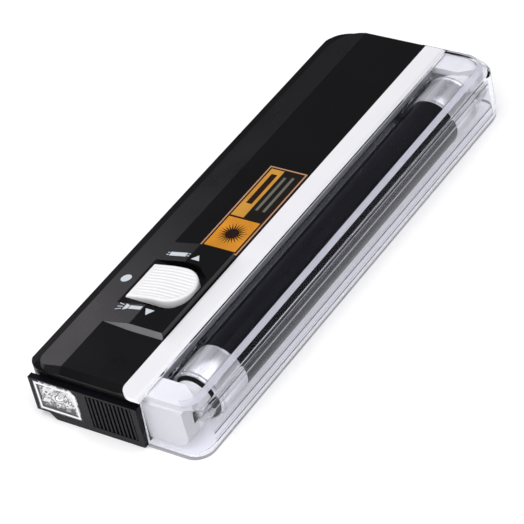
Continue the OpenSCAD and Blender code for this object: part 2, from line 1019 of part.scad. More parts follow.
module transformer_core() {
    color([0.12, 0.12, 0.13])
        place()
            difference() {
                box(9, 21, coil_y0 - 2, coil_y1 + 2, board_top + 0.5, board_top + 6.2);
                for (x = [10.6, 16.8])
                    box(x, x + 2.6, coil_y0, coil_y1, 0, 30);
                // the middle leg is thinner, so that the coil passes over and under it
                box(13, 17, coil_y0, coil_y1, 0, board_top + 1.6);
                box(13, 17, coil_y0, coil_y1, board_top + 5, 30);
            }
}

module transformer_coil() {
    color([0.65, 0.35, 0.12])
        place()
            difference() {
                box(10.7, 19.3, coil_y0 + 0.1, coil_y1 - 0.1, board_top, board_top + 6.4);
                box(13.1, 16.9, coil_y0 - 1, coil_y1 + 1, board_top + 1.5, board_top + 5.1);
            }
}

module transistor() {
    color([0.08, 0.08, 0.08])
        place() {
            difference() {
                box(25, 33, 17, 28, board_top + 0.2, board_top + 2.8);
                translate([29, 20, 0])
                    cylinder(r = 1.6, h = 30);
            }
            for (x = [27, 29, 31]) {
                box(x - 0.35, x + 0.35, 27.9, 30, board_top + 1, board_top + 1.5);
                box(x - 0.35, x + 0.35, 29.5, 30, board_top, board_top + 1.5);
            }
        }
}

module smoothing_capacitors() {
    color([0.1, 0.12, 0.3])
        place()
            for (y = [35, 42])
                translate([32, y, board_top])
                    difference() {
                        cylinder(r = 2.9, h = 6);
                        translate([0, 0, 5.8])
                            box(-2, 2, -0.15, 0.15, 0, 1);
                    }
}

module film_capacitor() {
    color([0.6, 0.25, 0.1])
        place()
            intersection() {
                box(6.5, 16, 34, 39.5, board_top, board_top + 5.2);
                along_y(0, total_l)
                    translate([11.25, board_top + 2.2])
                        union() {
                            translate([-3.5, -3])
                                square([7, 6]);
                            for (side = [-1, 1])
                                translate([side * 2.2, 0])
                                    circle(3);
                        }
            }
}

module resistors() {
    color([0.75, 0.65, 0.45])
        place()
            for (x = [12, 16]) {
                rod_y(x, board_top + 1.3, 1.1, 42, 47);
                rod_y(x, board_top + 1.3, 0.3, 40.7, 48.3);
                for (y = [41, 48])
                    box(x - 0.2, x + 0.2, y - 0.15, y + 0.15, board_top, board_top + 1.3);
            }
}

// One cell: a can with rounded rims and a button at its far end
module cell(x, y) {
    translate([x, y, cell_z])
        rotate([-90, 0, 0])
            rotate_extrude()
                difference() {
                    union() {
                        square([cell_r, cell_l]);
                        square([2.6, cell_l + button_l]);
                    }
                    translate([cell_r, cell_l])
                        mirror([1, 0])
                            mirror([0, 1])
                                corner_waste(0.7);
                    translate([cell_r, 0])
                        mirror([1, 0])
                            corner_waste(0.7);
                }
}

// Turns a cell about the middle of the battery bay, so that its button points the other way
module turned() {
    translate([col_x[0] + col_x[1], bay_y0 + bay_y1, 0])
        rotate([0, 0, 180])
            children();
}

module battery_1() {
    color([0.1, 0.25, 0.5])
        place()
            cell(col_x[0], cell_y0);
}

module battery_2() {
    color([0.1, 0.25, 0.5])
        place()
            cell(col_x[0], cell_y0 + cell_l + button_l + 0.05);
}

module battery_3() {
    color([0.1, 0.25, 0.5])
        place()
            turned()
                cell(col_x[0], cell_y0);
}

module battery_4() {
    color([0.1, 0.25, 0.5])
        place()
            turned()
                cell(col_x[0], cell_y0 + cell_l + button_l + 0.05);
}

module battery_contacts() {
    color([0.8, 0.8, 0.78])
        place() {
            for (x = col_x) {
                box(x - 5, x + 5, bay_y0, bay_y0 + plate_t, cell_z - 5, cell_z + 5);
                box(x - tab_w / 2, x + tab_w / 2, bay_y0 - 3, bay_y0 + 0.1, tab_z,
                    tab_z + plate_t);
            }
            box(col_x[0] - 5, col_x[1] + 5, bay_y1 - plate_t, bay_y1, cell_z - 5, cell_z + 5);
        }
}

function unit(v) = v / norm(v);

// Direction of a route at its i-th point
function heading(p, i) = unit(p[min(i + 1, len(p) - 1)] - p[max(i - 1, 0)]);

// Round bar of radius r that follows a route of points, none of which runs along "up"
module bar_along(p, r, sides, up = [0.13, 0.27, 0.95]) {
    last = len(p) - 1;
    rings = [
        for (i = [0:last])
            let (t = heading(p, i), n = unit(cross(t, up)), b = cross(t, n))
                for (k = [0:sides - 1])
                    p[i] + r * (cos(360 * k / sides) * n + sin(360 * k / sides) * b)
    ];
    walls = [
        for (i = [0:last - 1], k = [0:sides - 1])
            let (a = i * sides + k, b = i * sides + (k + 1) % sides)
                for (f = [[a, a + sides, b + sides], [a, b + sides, b]])
                    f
    ];
    start_face = [for (k = [0:sides - 1]) k];
    end_face = [for (k = [0:sides - 1]) (last + 1) * sides - 1 - k];
    polyhedron(concat(rings), concat([start_face, end_face], walls));
}

// Coil spring between the contact plate and the first cell of a column
function spring_route(x, y0, y1, r0, r1, turns) = [
    for (i = [0:12 * turns])
        let (f = i / (12 * turns), a = 30 * i, r = r0 + (r1 - r0) * f)
            [x + r * cos(a), y0 + (y1 - y0) * f, cell_z + r * sin(a)]
];

module battery_springs() {
    y0 = bay_y0 + plate_t + 0.3;
    color([0.8, 0.8, 0.8])
        place() {
            bar_along(spring_route(col_x[0], y0, cell_y0 - 0.3, 4.4, 2.2, 4), 0.3, 6, [0, 1, 0]);
            turned()
                bar_along(spring_route(col_x[0], y0, cell_y0 - 0.3, 4.4, 2.2, 4), 0.3, 6,
                    [0, 1, 0]);
        }
}

// One case screw, its head down
module case_screw() {
    difference() {
        union() {
            translate([0, 0, screw_head_z])
                cylinder(r = screw_head_r, h = screw_head_t);
            translate([0, 0, screw_head_z])
                cylinder(r = screw_r - 0.02, h = screw_top - screw_head_z);
        }
        translate([0, 0, screw_head_z - 1]) {
            box(-1.1, 1.1, -0.25, 0.25, 0, 1.7);
            box(-0.25, 0.25, -1.1, 1.1, 0, 1.7);
        }
    }
}

module housing_screws() {
    color([0.6, 0.6, 0.62])
        place()
            for (p = screws)
                translate([p[0], p[1], 0])
                    case_screw();
}

module info_label() {
    color([0.85, 0.55, 0.1])
        place()
            box(label_x0, label_x0 + label_w, label_y0, label_y0 + label_l, case_h,
                case_h + 0.12);
}

// Route of a lamp wire from a contact blade, through the web and down to the board.
// dir is 1 from the torch end and -1 from the far end; stop_y is where it reaches the board.
function lamp_wire_route(y, z, dir, lane_z, stop_y) = [
    [tube_x - 1.2, y, z],
    [wire_lane_x + 1.2, y, z],
    [wire_lane_x + 0.6, y, z],
    [wire_lane_x + 0.15, y + dir * 0.35, z],
    [wire_lane_x, y + dir, z],
    [wire_lane_x, y + dir * 6, lane_z],
    [wire_lane_x, stop_y - dir * 1.2, lane_z],
    [wire_lane_x - 0.3, stop_y - dir * 0.5, lane_z - 0.5],
    [wire_lane_x - 1, stop_y, board_top + wire_r + 0.3],
    [wire_lane_x - 2, stop_y, board_top + wire_r + 0.05]
];

module lamp_wires() {
    color([0.85, 0.85, 0.85])
        place()
            for (side = [-1, 1]) {
                z = tube_z + side * wire_rise;
                lane_z = 11.2 + side;
                bar_along(lamp_wire_route(wire_y, z, 1, lane_z, 17.5 + side), wire_r, 8);
                bar_along(lamp_wire_route(2 * tube_mid - wire_y, z, -1, lane_z, 45.8 - side),
                    wire_r, 8);
            }
}

module power_wires() {
    start_y = bay_y0 - 3.05;
    color([0.6, 0.05, 0.05])
        place()
            for (x = col_x)
                bar_along([[x, start_y, tab_z + 0.2], [x, start_y - 0.6, tab_z + 0.1],
                    [x + 0.3, start_y - 1.4, tab_z], [x + 1, start_y - 3, tab_z + 0.4],
                    [x + 1, start_y - 4, board_z - wire_r - 0.05]], wire_r, 8);
}

module torch_wires() {
    start_y = base_y0 + 5.05;
    color([0.6, 0.05, 0.05])
        place()
            for (side = [-1, 1])
                bar_along([[torch_x + side * 2, start_y, torch_z + 2.2],
                    [torch_x + side * 2, start_y + 0.8, torch_z + 2.3],
                    [torch_x + side * 2, start_y + 2, torch_z + 2.1],
                    [torch_x + side * 2, start_y + 4, board_top + wire_r + 0.05]], wire_r, 8);
}

top_shell();
bottom_shell();
battery_door();
torch_bezel();
torch_lens();
torch_reflector();
torch_bulb_glass();
torch_bulb_base();
torch_socket();
tube_frame();
mirror_reflector();
clear_cover();
lamp_holder_near();
lamp_holder_far();
socket_rotor_near();
socket_rotor_far();
socket_contacts_near();
socket_contacts_far();
uv_tube_glass();
tube_cap_near();
tube_cap_far();
tube_base_near();
tube_base_far();
tube_pins();
tube_cathodes();
switch_knob();
switch_actuator();
slide_switch_can();
slide_switch_base();
circuit_board();
transformer_core();
transformer_coil();
transistor();
smoothing_capacitors();
film_capacitor();
resistors();
battery_1();
battery_2();
battery_3();
battery_4();
battery_contacts();
battery_springs();
housing_screws();
info_label();
lamp_wires();
power_wires();
torch_wires();
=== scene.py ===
"""Looks for a handheld banknote checker.

It is a black case with a slide switch and a torch, and a lamp tube under a clear cover.
Lengths named here are in millimetres, measured from the object's left side, torch end and
underside, as at() takes them, unless a comment says otherwise.
"""

import math
import random

import bmesh
import bpy
from mathutils import Matrix, Vector


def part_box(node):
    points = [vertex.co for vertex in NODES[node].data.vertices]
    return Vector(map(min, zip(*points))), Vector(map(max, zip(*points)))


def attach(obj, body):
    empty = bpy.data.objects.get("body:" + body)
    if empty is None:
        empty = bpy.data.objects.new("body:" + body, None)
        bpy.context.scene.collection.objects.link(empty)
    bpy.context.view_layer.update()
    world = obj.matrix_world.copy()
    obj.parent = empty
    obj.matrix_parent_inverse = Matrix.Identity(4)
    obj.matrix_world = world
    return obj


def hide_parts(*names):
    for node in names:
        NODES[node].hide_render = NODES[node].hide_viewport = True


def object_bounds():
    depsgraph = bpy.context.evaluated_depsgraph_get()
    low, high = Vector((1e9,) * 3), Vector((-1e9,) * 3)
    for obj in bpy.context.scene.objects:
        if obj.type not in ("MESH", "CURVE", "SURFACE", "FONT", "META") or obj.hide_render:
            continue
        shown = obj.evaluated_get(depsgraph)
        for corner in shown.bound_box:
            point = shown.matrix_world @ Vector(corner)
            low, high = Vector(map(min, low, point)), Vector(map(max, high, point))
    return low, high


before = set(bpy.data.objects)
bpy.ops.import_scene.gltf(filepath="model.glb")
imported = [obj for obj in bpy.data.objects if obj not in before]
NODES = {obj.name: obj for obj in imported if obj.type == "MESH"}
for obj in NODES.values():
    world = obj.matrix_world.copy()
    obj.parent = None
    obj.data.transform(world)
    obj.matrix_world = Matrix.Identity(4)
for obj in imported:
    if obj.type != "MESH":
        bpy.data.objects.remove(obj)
CAD_LOW, CAD_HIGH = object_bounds()
MM = 0.001
random.seed(7)


# ---------------------------------------------------------------- places

def at(x, y, z):
    """Point in metres of a place in millimetres off the left side, torch end and underside."""
    return CAD_LOW + Vector((x, y, z)) * MM


def span(node):
    """Lowest and highest corner of a CAD node, in millimetres as at() takes them."""
    low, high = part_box(node)
    return (low - CAD_LOW) / MM, (high - CAD_LOW) / MM


# ---------------------------------------------------------------- materials

NOISE_LOW, NOISE_HIGH = 0.3, 0.7  # most of a noise lies between these


def new_material(name):
    """A new material, its node tree and its Principled shader."""
    made = bpy.data.materials.new(name)
    made.use_nodes = True
    tree = made.node_tree
    shader = next(n for n in tree.nodes if n.type == "BSDF_PRINCIPLED")
    return made, tree, shader


def noise(tree, scale, detail, stretch=(1, 1, 1)):
    """Noise in object space; scale is in features per metre and stretch squeezes it along an axis."""
    place = tree.nodes.new("ShaderNodeTexCoord")
    mapping = tree.nodes.new("ShaderNodeMapping")
    mapping.inputs["Scale"].default_value = stretch
    tree.links.new(place.outputs["Object"], mapping.inputs["Vector"])
    made = tree.nodes.new("ShaderNodeTexNoise")
    made.inputs["Scale"].default_value = scale
    made.inputs["Detail"].default_value = detail
    tree.links.new(mapping.outputs["Vector"], made.inputs["Vector"])
    return made.outputs["Fac"]


def ramp(tree, source, low, high):
    """Colour that goes from low to high over the middle of a noise."""
    made = tree.nodes.new("ShaderNodeValToRGB")
    made.color_ramp.elements[0].position = NOISE_LOW
    made.color_ramp.elements[1].position = NOISE_HIGH
    made.color_ramp.elements[0].color = (*low, 1)
    made.color_ramp.elements[1].color = (*high, 1)
    tree.links.new(source, made.inputs["Fac"])
    return made.outputs["Color"]


def spread(tree, source, low, high):
    """Number that goes from low to high over the middle of a noise."""
    made = tree.nodes.new("ShaderNodeMapRange")
    made.inputs["From Min"].default_value = NOISE_LOW
    made.inputs["From Max"].default_value = NOISE_HIGH
    made.inputs["To Min"].default_value = low
    made.inputs["To Max"].default_value = high
    tree.links.new(source, made.inputs["Value"])
    return made.outputs["Result"]


def bump(tree, source, strength, depth):
    """Surface relief from source, depth in millimetres."""
    made = tree.nodes.new("ShaderNodeBump")
    made.inputs["Strength"].default_value = strength
    made.inputs["Distance"].default_value = depth * MM
    tree.links.new(source, made.inputs["Height"])
    return made.outputs["Normal"]


def finish_of(name, colour, rough, grain=1500, depth=0.01, strength=0.4, vary=0.12, patch=60,
              rough_vary=0.05, stretch=(1, 1, 1), **sockets):
    """A moulded, drawn or printed surface: slow colour drift, patchy roughness and a fine grain.

    grain and patch are in features per metre, depth is in millimetres.
    """
    made, tree, shader = new_material(name)
    for socket, value in sockets.items():
        shader.inputs[socket.replace("_", " ")].default_value = value
    dark = tuple(c * (1 - vary) for c in colour)
    light = tuple(min(1, c * (1 + vary)) for c in colour)
    slow = noise(tree, patch, 4, stretch)
    fine = noise(tree, grain, 2, stretch)
    tree.links.new(ramp(tree, slow, dark, light), shader.inputs["Base Color"])
    tree.links.new(spread(tree, slow, rough - rough_vary, rough + rough_vary), shader.inputs["Roughness"])
    tree.links.new(bump(tree, fine, strength, depth), shader.inputs["Normal"])
    return made


def clear_material(name, tint, shadow, rough, ior, shine=1.0):
    """Clear plastic or glass that lets the lamps' light through to what it covers."""
    made, tree, shader = new_material(name)
    shader.inputs["Transmission Weight"].default_value = 1.0
    shader.inputs["IOR"].default_value = ior
    shader.inputs["Specular Tint"].default_value = (shine, shine, shine, 1)
    slow = noise(tree, 40, 3)
    fine = noise(tree, 300, 2)
    darker = tuple(c * 0.985 for c in tint)
    tree.links.new(ramp(tree, slow, darker, tint), shader.inputs["Base Color"])
    tree.links.new(spread(tree, slow, rough * 0.5, rough * 1.5), shader.inputs["Roughness"])
    tree.links.new(bump(tree, fine, 0.15, 0.004), shader.inputs["Normal"])
    through = tree.nodes.new("ShaderNodeBsdfTransparent")
    through.inputs["Color"].default_value = (*shadow, 1)
    rays = tree.nodes.new("ShaderNodeLightPath")
    mix = tree.nodes.new("ShaderNodeMixShader")
    output = next(n for n in tree.nodes if n.type == "OUTPUT_MATERIAL")
    tree.links.new(rays.outputs["Is Shadow Ray"], mix.inputs["Fac"])
    tree.links.new(shader.outputs["BSDF"], mix.inputs[1])
    tree.links.new(through.outputs["BSDF"], mix.inputs[2])
    tree.links.new(mix.outputs["Shader"], output.inputs["Surface"])
    return made


def metal(name, colour, rough, **more):
    """Bare metal, with little drift in its colour."""
    return finish_of(name, colour, rough, Metallic=1.0, vary=0.05, rough_vary=0.04, **more)


LONG = (1, 0.04, 1)  # streaks drawn out along the length
LOOK = {
    # case
    "case_black": finish_of("case_black", (0.0026, 0.0025, 0.003), 0.3, grain=2600, depth=0.006,
                            vary=0.1, Specular_IOR_Level=0.36),
    "bezel_black": finish_of("bezel_black", (0.004, 0.004, 0.006), 0.3, grain=2600, depth=0.006,
                             vary=0.1, Specular_IOR_Level=0.15),
    # painted highlight: grey for the field's near wall where the black case catches light
    "painted_wall_highlight": finish_of("painted_wall_highlight", (0.2, 0.2, 0.205), 0.4, grain=2600, depth=0.006, vary=0.15),
    "white_plastic": finish_of("white_plastic", (0.83, 0.825, 0.85), 0.4, grain=1200, depth=0.006,
                               vary=0.015),
    "holder_white": finish_of("holder_white", (0.69, 0.69, 0.69), 0.42, grain=1200, depth=0.006,
                              vary=0.02),
    "screw_steel": metal("screw_steel", (0.5, 0.5, 0.52), 0.32),
    # clear cover
    "clear_plastic": clear_material("clear_plastic", (0.915, 0.915, 0.955), (0.93, 0.93, 0.95),
                                    0.01, 1.33, 0.25),
    "cover_foot": finish_of("cover_foot", (0.33, 0.32, 0.36), 0.3, vary=0.15, patch=120),
    # pale see-through sheet: painted highlight on the cover's chamfer and side wall
    "painted_highlight": finish_of("painted_highlight", (0.6, 0.6, 0.66), 0.3, vary=0.1, patch=90,
                              stretch=LONG, Alpha=0.55),
    # dark lilac see-through sheet: painted reflection of the black tube in the cover's side wall
    "painted_tube_reflection": finish_of("painted_tube_reflection", (0.12, 0.11, 0.16), 0.3, vary=0.1, patch=90,
                            stretch=LONG, Alpha=0.6),
    # torch
    "lens_clear": clear_material("lens_clear", (0.98, 0.98, 1.0), (0.95, 0.95, 0.96), 0.02, 1.45),
    "bulb_glass": clear_material("bulb_glass", (0.8, 0.6, 0.45), (0.9, 0.8, 0.7), 0.02, 1.4),
    "chrome_reflector": metal("chrome_reflector", (0.8, 0.79, 0.79), 0.05, grain=420, depth=0.25,
                              strength=0.8),
    # lamp tube and the mirror behind it
    "tube_black_glass": finish_of("tube_black_glass", (0.0025, 0.0025, 0.0045), 0.28, grain=60,
                                  depth=0.001, strength=0.05, vary=0.2, rough_vary=0.03,
                                  stretch=LONG, Specular_IOR_Level=0.2),
    # its strong lengthwise colour streaks are painted reflections
    "cap_aluminium": finish_of("cap_aluminium", (0.74, 0.74, 0.75), 0.3, grain=900, depth=0.004,
                               vary=0.3, patch=420, stretch=LONG, Metallic=0.72),
    "base_black": finish_of("base_black", (0.02, 0.017, 0.017), 0.4),
    "mirror_film": metal("mirror_film", (0.3, 0.3, 0.33), 0.2, grain=160, depth=0.35,
                         strength=0.8),
    "mirror_end": metal("mirror_end", (0.8, 0.8, 0.82), 0.1, grain=700, depth=0.05),
    # switch
    "switch_black": finish_of("switch_black", (0.015, 0.015, 0.015), 0.4),
    "switch_white": finish_of("switch_white", (0.84, 0.84, 0.845), 0.38, grain=1600, depth=0.006,
                              vary=0.01),
    # works inside
    "nickel_metal": metal("nickel_metal", (0.7, 0.66, 0.56), 0.25),
    "brass_contact": metal("brass_contact", (0.75, 0.55, 0.27), 0.3),
    "spring_steel": metal("spring_steel", (0.6, 0.6, 0.62), 0.25),
    "board_brown": finish_of("board_brown", (0.28, 0.15, 0.05), 0.5, grain=900, vary=0.25),
    "ferrite": finish_of("ferrite", (0.03, 0.03, 0.034), 0.6, grain=900, depth=0.03),
    "coil_tape": finish_of("coil_tape", (0.5, 0.33, 0.07), 0.35, vary=0.2),
    "part_black": finish_of("part_black", (0.012, 0.012, 0.012), 0.45),
    "capacitor_blue": finish_of("capacitor_blue", (0.02, 0.03, 0.12), 0.3),
    "capacitor_brown": finish_of("capacitor_brown", (0.25, 0.07, 0.02), 0.25),
    "resistor_tan": finish_of("resistor_tan", (0.5, 0.33, 0.17), 0.45),
    "cell_wrap": finish_of("cell_wrap", (0.015, 0.05, 0.19), 0.28, vary=0.2),
    "wire_white": finish_of("wire_white", (0.7, 0.7, 0.68), 0.45),
    "wire_red": finish_of("wire_red", (0.35, 0.015, 0.012), 0.45),
    # sticker and prints
    "label_border": finish_of("label_border", (0.5, 0.27, 0.15), 0.5, grain=2500, vary=0.08),
    "label_dark": finish_of("label_dark", (0.02, 0.008, 0.006), 0.5, vary=0.2,
                            Specular_IOR_Level=0.15),
    "label_black": finish_of("label_black", (0.01, 0.009, 0.007), 0.5, vary=0.2,
                             Specular_IOR_Level=0.2),
    "label_orange": finish_of("label_orange", (0.64, 0.25, 0.014), 0.48, grain=2500, vary=0.14,
                              patch=150),
    "label_yellow": finish_of("label_yellow", (0.56, 0.27, 0.035), 0.48, grain=2500, vary=0.1,
                              patch=150),
    "print_white": finish_of("print_white", (0.6, 0.64, 0.68), 0.5, vary=0.05),
    "print_grey": finish_of("print_grey", (0.14, 0.13, 0.11), 0.5, vary=0.1),
}


# ---------------------------------------------------------------- pieces

def add_piece(name, mesh_data, look, body, stands_for=(), smooth=35):
    """Makes the object from a bmesh, shades it, gives it its look and puts it on its body."""
    bmesh.ops.recalc_face_normals(mesh_data, faces=mesh_data.faces)
    mesh = bpy.data.meshes.new(name)
    mesh_data.to_mesh(mesh)
    mesh_data.free()
    mesh.materials.append(LOOK[look])
    for face in mesh.polygons:
        face.use_smooth = True
    mesh.set_sharp_from_angle(angle=math.radians(smooth))
    piece = bpy.data.objects.new(name, mesh)
    bpy.context.scene.collection.objects.link(piece)
    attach(piece, body)
    if stands_for:
        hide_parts(*stands_for)


def add_ring(bm, points):
    """New vertices at the points, in order."""
    return [bm.verts.new(p) for p in points]


def join_rings(bm, first, second):
    """Quads between two closed rings with the same number of points."""
    count = len(first)
    for i in range(count):
        bm.faces.new((first[i], first[(i + 1) % count], second[(i + 1) % count], second[i]))


def add_skin(bm, rows):
    """Quads between neighbouring rows of vertices, each with the same number of them."""
    for first, second in zip(rows, rows[1:]):
        for i in range(len(first) - 1):
            bm.faces.new((first[i], first[i + 1], second[i + 1], second[i]))


def rim_of(rows):
    """The vertices round the edge of a grid, in order."""
    right = [row[-1] for row in rows[1:-1]]
    left = [row[0] for row in rows[-2:0:-1]]
    return rows[0] + right + rows[-1][::-1] + left


def add_prism(bm, outline, low, high):
    """Extrudes an outline of (x, y) in millimetres from height low to high."""
    bottom = add_ring(bm, [at(x, y, low) for x, y in outline])
    top = add_ring(bm, [at(x, y, high) for x, y in outline])
    bm.faces.new(bottom)
    bm.faces.new(top)
    join_rings(bm, bottom, top)


def rectangle(x0, y0, x1, y1):
    """Outline of a rectangle between two corners."""
    return [(x0, y0), (x1, y0), (x1, y1), (x0, y1)]


def add_box(bm, low, high):
    """Box between two corners in millimetres."""
    x0, y0, z0 = low
    x1, y1, z1 = high
    add_prism(bm, rectangle(x0, y0, x1, y1), z0, z1)


LATHE_SEGMENTS = 128


def lathe_y(bm, profile, x, z):
    """Turns a closed profile of (radius, y) points about a line along the length."""
    turn = [2 * math.pi * i / LATHE_SEGMENTS for i in range(LATHE_SEGMENTS)]
    rings = []
    for radius, y in profile:
        circle = [at(x + radius * math.cos(a), y, z + radius * math.sin(a)) for a in turn]
        rings.append(add_ring(bm, circle))
    for first, second in zip(rings, rings[1:] + rings[:1]):
        join_rings(bm, first, second)


def arc(centre, radius, start, end, steps):
    """Points of an arc in degrees."""
    made = []
    for i in range(steps + 1):
        a = math.radians(start + (end - start) * i / steps)
        made.append((centre[0] + radius * math.cos(a), centre[1] + radius * math.sin(a)))
    return made


# ---------------------------------------------------------------- clear cover

COVER_X0 = span("clear_cover")[0].x
# height, right side, near end and far end of the cover's outside
COVER_LEVELS = [(0, 56.4, 1.2, 162), (1.6, 57.2, 1.3, 162.4), (15.3, 57.2, 2.3, 162.3),
                (18, 54.6, 3.4, 160.9)]
COVER_FOOT = COVER_LEVELS[0]
COVER_SHOULDER = COVER_LEVELS[2]
COVER_TOP = COVER_LEVELS[3]
COVER_INSIDE_Z = [0.9, 2.1, 15.1, 17.1]
COVER_SIDE_T = 1.3
COVER_NEAR_R = 5
COVER_FAR_R = 7.5


def cover_outline(level, left, inset):
    """Plan of the cover at one level: rounded at its two right corners, open-ended at left."""
    _, right, near, far = level
    right -= inset
    near += inset
    far -= inset
    near_r = COVER_NEAR_R - inset
    far_r = COVER_FAR_R - inset
    outline = [(left, near)]
    outline += arc((right - near_r, near + near_r), near_r, -90, 0, 14)
    outline += arc((right - far_r, far - far_r), far_r, 0, 90, 18)
    outline.append((left, far))
    return outline


def cover_block(left, inset, heights, soften):
    """Solid block through the cover's levels, with softened horizontal edges."""
    bm = bmesh.new()
    rings = []
    for level, z in zip(COVER_LEVELS, heights):
        rings.append(add_ring(bm, [at(x, y, z) for x, y in cover_outline(level, left, inset)]))
    for first, second in zip(rings, rings[1:]):
        join_rings(bm, first, second)
    bm.faces.new(rings[0])
    bm.faces.new(rings[-1])
    bmesh.ops.recalc_face_normals(bm, faces=bm.faces)
    edges = []
    for ring in rings:
        for i in range(len(ring) - 1):
            edges.append(bm.edges.get((ring[i], ring[i + 1])))
    bmesh.ops.bevel(bm, geom=edges, offset=soften * MM, segments=3, profile=0.5, affect="EDGES")
    return bm


def temporary(name, bm):
    """An object for carve() to use up."""
    mesh = bpy.data.meshes.new(name)
    bm.to_mesh(mesh)
    bm.free()
    made = bpy.data.objects.new(name, mesh)
    bpy.context.scene.collection.objects.link(made)
    return made


def carve(solid, *tools):
    """Takes the tools away from a solid and returns the result as a bmesh."""
    for tool in tools:
        cut = solid.modifiers.new("cut", "BOOLEAN")
        cut.operation = "DIFFERENCE"
        cut.solver = "EXACT"
        cut.object = tool
    evaluated = solid.evaluated_get(bpy.context.evaluated_depsgraph_get())
    bm = bmesh.new()
    bm.from_mesh(evaluated.to_mesh())
    evaluated.to_mesh_clear()
    for used in (solid, *tools):
        bpy.data.objects.remove(used)
    bmesh.ops.remove_doubles(bm, verts=bm.verts, dist=0.002 * MM)
    bmesh.ops.dissolve_degenerate(bm, edges=bm.edges, dist=0.002 * MM)
    return bm


def add_cover_shell():
    """Hollow cover: its outside, less its inside and the notch that the white strip lies in."""
    strip_high = span("tube_frame")[1]
    notch_low = (COVER_X0 - 1, -1, strip_high.z - 1.62)
    notch_high = (strip_high.x + 0.12, 160.75, strip_high.z + 1)
    outside_z = [level[0] for level in COVER_LEVELS]
    outside = temporary("cover_outside", cover_block(COVER_X0, 0, outside_z, 0.45))
    inside = temporary("cover_inside", cover_block(COVER_X0 - 5, COVER_SIDE_T, COVER_INSIDE_Z, 0.35))
    notch = bmesh.new()
    add_box(notch, notch_low, notch_high)
    bmesh.ops.recalc_face_normals(notch, faces=notch.faces)
    bm = carve(outside, inside, temporary("cover_notch", notch))
    add_piece("cover_shell", bm, "clear_plastic", "cover", ["clear_cover"], smooth=32)


def add_cover_chamfer():
    """Pale see-through ribbon along the upper chamfer's right side and round both corners: a painted
    highlight.
    """
    share = 0.42
    middle = tuple(a + (b - a) * share for a, b in zip(COVER_TOP, COVER_SHOULDER))
    # level, inset and drop below the level of the ribbon's four edges
    edges = ((COVER_TOP, 0.5, 0.2), (middle, 0.22, 0), (middle, 0.4, 0), (COVER_TOP, 0.7, 0.32))
    bm = bmesh.new()
    rows = []
    for level, inset, drop in edges:
        path = cover_outline(level, COVER_X0 + 2.2, inset)[3:]
        rows.append(add_ring(bm, [at(x, y, level[0] - drop) for x, y in path]))
    add_skin(bm, rows + rows[:1])
    for end in (0, -1):
        bm.faces.new([row[end] for row in rows])
    add_piece("cover_chamfer_highlight", bm, "painted_highlight", "cover")


def add_cover_lines():
    """Fine lengthwise lines in the side wall: pale painted highlights and dark painted reflections of the
    tube.
    """
    side_x = COVER_SHOULDER[1] - 0.25
    line_t = 0.06
    near_end = COVER_SHOULDER[2] + COVER_NEAR_R
    far_end = COVER_SHOULDER[3] - COVER_FAR_R
    # lower edge and height of each line
    pale = ((14.4, 0.25), (11.6, 0.5), (6.1, 0.35), (3.4, 0.3))
    dark = ((13.4, 0.45), (5.3, 0.5), (2.5, 0.4))
    for name, look, lines in (("cover_lines", "painted_highlight", pale),
                              ("cover_shade_lines", "painted_tube_reflection", dark)):
        bm = bmesh.new()
        for low, height in lines:
            add_box(bm, (side_x, near_end, low), (side_x + line_t, far_end, low + height))
        add_piece(name, bm, look, "cover")


def add_cover_foot():
    """Moulded foot along the lower edge, duller than the walls."""
    left = COVER_X0 + 0.2
    outer = cover_outline(COVER_FOOT, left, -0.38)
    inner = cover_outline(COVER_FOOT, left, 0.02)
    count = len(outer)
    bm = bmesh.new()
    rings = []
    for z in (0.05, 0.85):
        rings.append(add_ring(bm, [at(x, y, z) for x, y in outer + inner[::-1]]))
    join_rings(bm, rings[0], rings[1])
    for ring in rings:
        add_skin(bm, [ring[:count], ring[count:][::-1]])
    add_piece("cover_foot", bm, "cover_foot", "cover")


# ---------------------------------------------------------------- lamp tube

TUBE_LOW, TUBE_HIGH = span("uv_tube_glass")
TUBE_X = (TUBE_LOW.x + TUBE_HIGH.x) / 2
TUBE_Z = (TUBE_LOW.z + TUBE_HIGH.z) / 2
TUBE_R = (TUBE_HIGH.x - TUBE_LOW.x) / 2
TUBE_MID = (TUBE_LOW.y + TUBE_HIGH.y) / 2


def mirrored(profile):
    """A profile of the torch end turned round to the far end."""
    return [(radius, 2 * TUBE_MID - y) for radius, y in profile]


def add_tube():
    """Hollow black glass between the caps."""
    wall = 0.8
    profile = [(TUBE_R, TUBE_LOW.y), (TUBE_R, TUBE_HIGH.y), (TUBE_R - wall, TUBE_HIGH.y),
               (TUBE_R - wall, TUBE_LOW.y)]
    bm = bmesh.new()
    lathe_y(bm, profile, TUBE_X, TUBE_Z)
    add_piece("tube_glass", bm, "tube_black_glass", "lamp", ["uv_tube_glass"])


def add_cap(end):
    """Aluminium cap with a rolled rim, a groove behind it and a bead before its open end."""
    low, high = span("tube_cap_" + end)
    cap_r = (high.x - low.x) / 2
    face = span("tube_cap_near")[0].y
    back = face + (high.y - low.y)
    rim_r = 0.5
    side_r = cap_r - 0.03
    groove_r = cap_r - 0.26
    bore_r = TUBE_R + 0.02
    profile = [(r, y) for y, r in arc((face + rim_r, cap_r - rim_r), rim_r, -90, -270, 10)]
    profile += [(cap_r - 0.02, face + 1.0), (groove_r, face + 1.2), (groove_r, face + 1.45),
                (side_r, face + 1.7), (side_r, back - 1.1), (cap_r - 0.1, back - 0.9),
                (side_r, back - 0.6), (cap_r - 0.08, back - 0.1), (bore_r, back),
                (bore_r, face + 0.9)]
    bm = bmesh.new()
    lathe_y(bm, profile if end == "near" else mirrored(profile), TUBE_X, TUBE_Z)
    add_piece("tube_cap_shell_" + end, bm, "cap_aluminium", "lamp",
              ["tube_cap_" + end], smooth=50)


